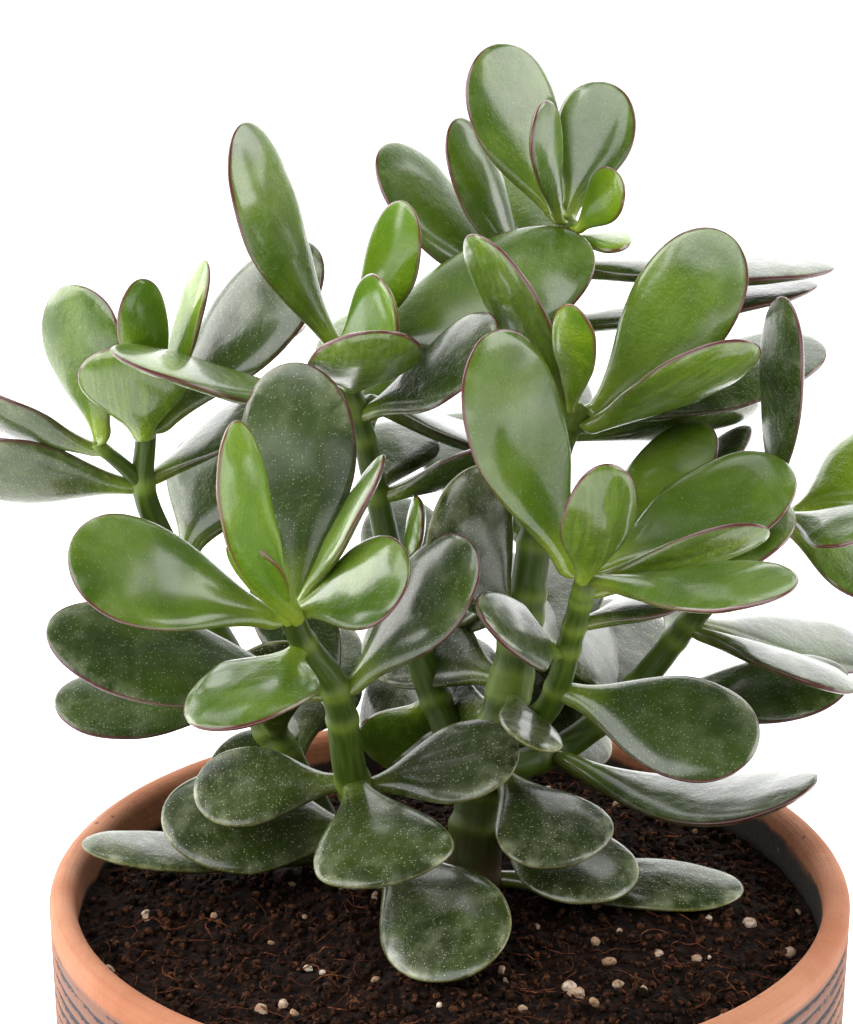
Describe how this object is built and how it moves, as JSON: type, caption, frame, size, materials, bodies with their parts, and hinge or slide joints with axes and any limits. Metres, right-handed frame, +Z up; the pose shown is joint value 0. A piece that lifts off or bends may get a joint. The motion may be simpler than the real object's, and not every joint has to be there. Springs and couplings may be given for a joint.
{
  "type": "potted jade plant",
  "caption": "Jade plant with fleshy rounded leaves in crossed pairs on branching green stems, planted in a plain-rimmed round terracotta pot filled with dark soil.",
  "frame": {"origin": "centre of the pot's underside, on the surface that the pot stands on", "axes": "+Z up through the middle of the pot; -Y is the plant's front, where the soil is in view; +X is to its right seen from the front"},
  "size_m": [0.2155, 0.1798, 0.3348],
  "materials": {
    "pot": "unglazed terracotta, matt, with shallow scratched grooves",
    "soil": "moist dark potting mix with fibres, bark and perlite crumbs",
    "stem_front": "fleshy green stem, browner near the soil",
    "stem_trunk": "fleshy green stem, browner near the soil",
    "stem_tall": "fleshy green stem, browner near the soil",
    "stem_left": "fleshy green stem, browner near the soil",
    "stem_crown": "fleshy green stem, browner near the soil",
    "stem_centre": "fleshy green stem, browner near the soil",
    "stem_right": "fleshy green stem, browner near the soil",
    "leaf_centre_01": "grown leaf, dark green with a purple-brown margin and pale specks, waxy satin",
    "leaf_centre_02": "half-grown leaf, mid green with a faint red margin, waxy satin",
    "leaf_centre_03": "half-grown leaf, mid green with a faint red margin, waxy satin",
    "leaf_centre_04": "half-grown leaf, mid green with a faint red margin, waxy satin",
    "leaf_centre_05": "young leaf, bright yellow-green, waxy satin",
    "leaf_centre_06": "half-grown leaf, mid green with a faint red margin, waxy satin",
    "leaf_crown_01": "grown leaf, dark green with a purple-brown margin and pale specks, waxy satin",
    "leaf_crown_02": "half-grown leaf, mid green with a faint red margin, waxy satin",
    "leaf_crown_03": "half-grown leaf, mid green with a faint red margin, waxy satin",
    "leaf_crown_04": "grown leaf, dark green with a purple-brown margin and pale specks, waxy satin",
    "leaf_crown_05": "half-grown leaf, mid green with a faint red margin, waxy satin",
    "leaf_crown_06": "half-grown leaf, mid green with a faint red margin, waxy satin",
    "leaf_front_01": "old low leaf, very dark green with pale specks, waxy satin",
    "leaf_front_02": "old low leaf, very dark green with pale specks, waxy satin",
    "leaf_front_03": "old low leaf, very dark green with pale specks, waxy satin",
    "leaf_front_04": "old low leaf, very dark green with pale specks, waxy satin",
    "leaf_front_05": "old low leaf, very dark green with pale specks, waxy satin",
    "leaf_front_06": "grown leaf, dark green with a purple-brown margin and pale specks, waxy satin",
    "leaf_front_07": "grown leaf, dark green with a purple-brown margin and pale specks, waxy satin",
    "leaf_front_08": "half-grown leaf, mid green with a faint red margin, waxy satin",
    "leaf_front_09": "half-grown leaf, mid green with a faint red margin, waxy satin",
    "leaf_front_10": "half-grown leaf, mid green with a faint red margin, waxy satin",
    "leaf_front_11": "young leaf, bright yellow-green, waxy satin",
    "leaf_front_12": "grown leaf, dark green with a purple-brown margin and pale specks, waxy satin",
    "leaf_left_01": "old low leaf, very dark green with pale specks, waxy satin",
    "leaf_left_02": "old low leaf, very dark green with pale specks, waxy satin",
    "leaf_left_03": "grown leaf, dark green with a purple-brown margin and pale specks, waxy satin",
    "leaf_left_04": "grown leaf, dark green with a purple-brown margin and pale specks, waxy satin",
    "leaf_left_05": "grown leaf, dark green with a purple-brown margin and pale specks, waxy satin",
    "leaf_left_06": "half-grown leaf, mid green with a faint red margin, waxy satin",
    "leaf_left_07": "grown leaf, dark green with a purple-brown margin and pale specks, waxy satin",
    "leaf_right_01": "grown leaf, dark green with a purple-brown margin and pale specks, waxy satin",
    "leaf_right_02": "grown leaf, dark green with a purple-brown margin and pale specks, waxy satin",
    "leaf_right_03": "grown leaf, dark green with a purple-brown margin and pale specks, waxy satin",
    "leaf_right_04": "grown leaf, dark green with a purple-brown margin and pale specks, waxy satin",
    "leaf_right_05": "grown leaf, dark green with a purple-brown margin and pale specks, waxy satin",
    "leaf_right_06": "young leaf, bright yellow-green, waxy satin",
    "leaf_tall_01": "grown leaf, dark green with a purple-brown margin and pale specks, waxy satin",
    "leaf_tall_02": "grown leaf, dark green with a purple-brown margin and pale specks, waxy satin",
    "leaf_tall_03": "half-grown leaf, mid green with a faint red margin, waxy satin",
    "leaf_tall_04": "half-grown leaf, mid green with a faint red margin, waxy satin",
    "leaf_tall_05": "half-grown leaf, mid green with a faint red margin, waxy satin",
    "leaf_tall_06": "half-grown leaf, mid green with a faint red margin, waxy satin",
    "leaf_trunk_01": "old low leaf, very dark green with pale specks, waxy satin",
    "leaf_trunk_02": "old low leaf, very dark green with pale specks, waxy satin",
    "leaf_trunk_03": "old low leaf, very dark green with pale specks, waxy satin",
    "leaf_trunk_04": "grown leaf, dark green with a purple-brown margin and pale specks, waxy satin",
    "leaf_trunk_05": "grown leaf, dark green with a purple-brown margin and pale specks, waxy satin",
    "leaf_trunk_06": "half-grown leaf, mid green with a faint red margin, waxy satin",
    "leaf_trunk_07": "half-grown leaf, mid green with a faint red margin, waxy satin",
    "leaf_trunk_08": "half-grown leaf, mid green with a faint red margin, waxy satin"
  },
  "bodies": {
    "root": {"pot": "pot", "soil": "soil", "stem_front": "stem_front", "stem_trunk": "stem_trunk", "stem_tall": "stem_tall", "stem_left": "stem_left", "stem_crown": "stem_crown", "stem_centre": "stem_centre", "stem_right": "stem_right", "leaf_centre_01": "leaf_centre_01", "leaf_centre_02": "leaf_centre_02", "leaf_centre_03": "leaf_centre_03", "leaf_centre_04": "leaf_centre_04", "leaf_centre_05": "leaf_centre_05", "leaf_centre_06": "leaf_centre_06", "leaf_crown_01": "leaf_crown_01", "leaf_crown_02": "leaf_crown_02", "leaf_crown_03": "leaf_crown_03", "leaf_crown_04": "leaf_crown_04", "leaf_crown_05": "leaf_crown_05", "leaf_crown_06": "leaf_crown_06", "leaf_front_01": "leaf_front_01", "leaf_front_02": "leaf_front_02", "leaf_front_03": "leaf_front_03", "leaf_front_04": "leaf_front_04", "leaf_front_05": "leaf_front_05", "leaf_front_06": "leaf_front_06", "leaf_front_07": "leaf_front_07", "leaf_front_08": "leaf_front_08", "leaf_front_09": "leaf_front_09", "leaf_front_10": "leaf_front_10", "leaf_front_11": "leaf_front_11", "leaf_front_12": "leaf_front_12", "leaf_left_01": "leaf_left_01", "leaf_left_02": "leaf_left_02", "leaf_left_03": "leaf_left_03", "leaf_left_04": "leaf_left_04", "leaf_left_05": "leaf_left_05", "leaf_left_06": "leaf_left_06", "leaf_left_07": "leaf_left_07", "leaf_right_01": "leaf_right_01", "leaf_right_02": "leaf_right_02", "leaf_right_03": "leaf_right_03", "leaf_right_04": "leaf_right_04", "leaf_right_05": "leaf_right_05", "leaf_right_06": "leaf_right_06", "leaf_tall_01": "leaf_tall_01", "leaf_tall_02": "leaf_tall_02", "leaf_tall_03": "leaf_tall_03", "leaf_tall_04": "leaf_tall_04", "leaf_tall_05": "leaf_tall_05", "leaf_tall_06": "leaf_tall_06", "leaf_trunk_01": "leaf_trunk_01", "leaf_trunk_02": "leaf_trunk_02", "leaf_trunk_03": "leaf_trunk_03", "leaf_trunk_04": "leaf_trunk_04", "leaf_trunk_05": "leaf_trunk_05", "leaf_trunk_06": "leaf_trunk_06", "leaf_trunk_07": "leaf_trunk_07", "leaf_trunk_08": "leaf_trunk_08"}
  },
  "joints": []
}
